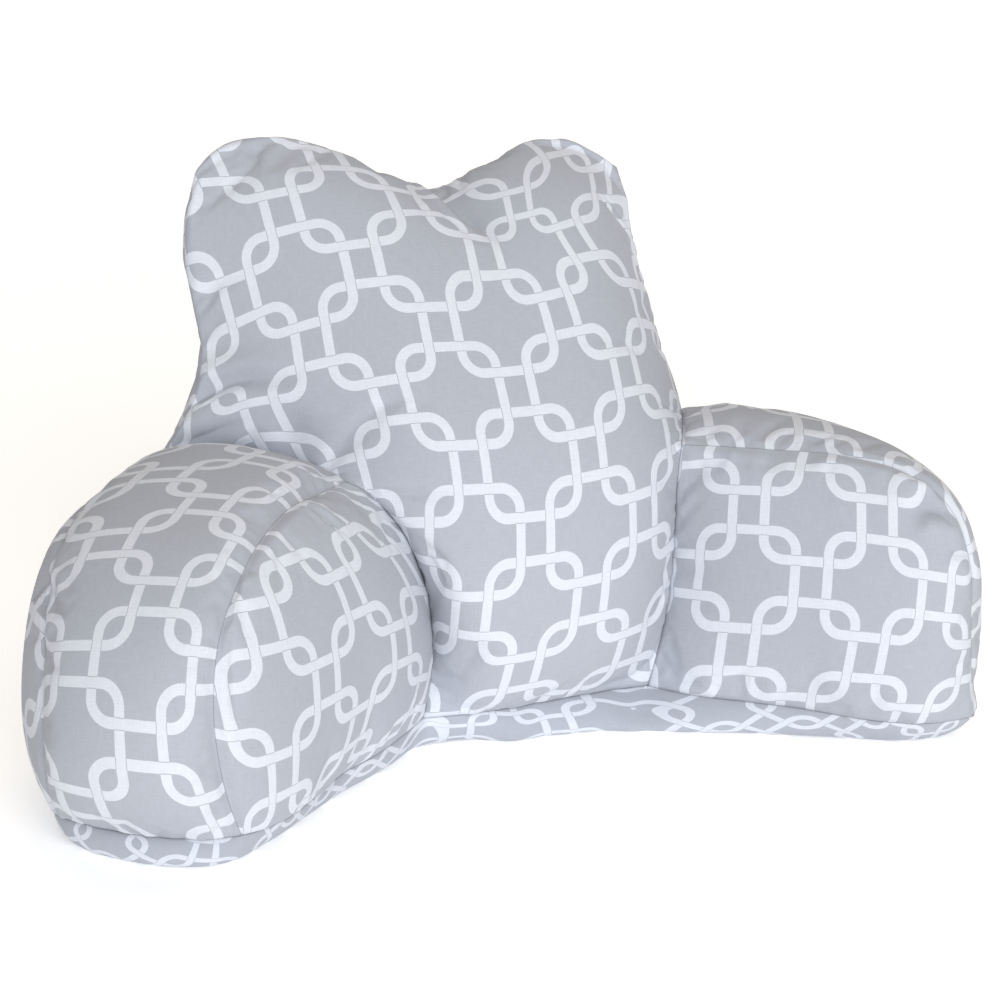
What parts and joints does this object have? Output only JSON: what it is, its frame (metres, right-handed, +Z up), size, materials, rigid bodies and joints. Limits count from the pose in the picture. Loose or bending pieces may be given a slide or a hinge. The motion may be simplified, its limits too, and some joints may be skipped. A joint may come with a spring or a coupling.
{
  "type": "reading pillow with arms",
  "caption": "Filled back rest pillow with rounded upper corners, arms that splay forward and a flat base panel.",
  "frame": {"origin": "middle of the underside of the pillow's box, on the surface it stands on", "axes": "+X along the width from the left arm to the right arm, +Y from the sitter's side to the back, +Z up"},
  "size_m": [0.7958, 0.4412, 0.4781],
  "materials": {
    "cover": "matt plain-weave printed cotton"
  },
  "bodies": {
    "root": {"back_rest": "cover", "arm_left": "cover", "arm_right": "cover", "base_panel": "cover"}
  },
  "joints": []
}
